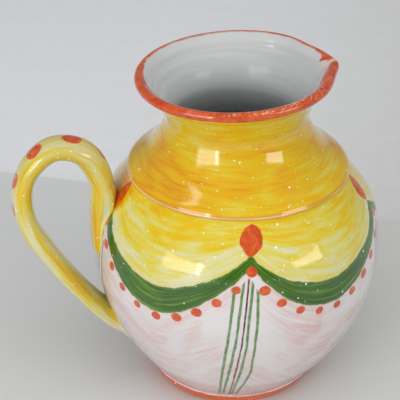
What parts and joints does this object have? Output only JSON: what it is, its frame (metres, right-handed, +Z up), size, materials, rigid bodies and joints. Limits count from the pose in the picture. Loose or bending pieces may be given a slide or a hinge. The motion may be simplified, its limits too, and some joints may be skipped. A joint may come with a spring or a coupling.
{
  "type": "ceramic pitcher",
  "caption": "Round-bellied glazed earthenware pitcher with a flared neck, a small pinched spout, a low foot ring and a looped strap handle opposite the spout.",
  "frame": {"origin": "under the middle of the whole outline, on the surface that the foot stands on; the vessel's own axis is 23.2 mm further towards +X", "axes": "+Z up along the vessel's axis, +X towards the spout, the handle towards -X, the X and Z plane splits the pitcher into two alike halves"},
  "size_m": [0.2159, 0.17, 0.2],
  "materials": {
    "foot_glaze": "glossy orange-red glaze",
    "belly_glaze": "glossy tin-white glaze with brushed yellow, green and pink",
    "shoulder_glaze": "glossy deep yellow glaze, brushed around",
    "lip_glaze": "glossy orange-red glaze",
    "handle_glaze": "glossy yellow glaze, brushed along, with orange dots"
  },
  "bodies": {
    "root": {"foot_ring": "foot_glaze", "belly": "belly_glaze", "shoulder_and_neck": "shoulder_glaze", "lip_with_spout": "lip_glaze", "handle": "handle_glaze", "handle_upper_joint": "handle_glaze", "handle_lower_joint": "handle_glaze"}
  },
  "joints": []
}
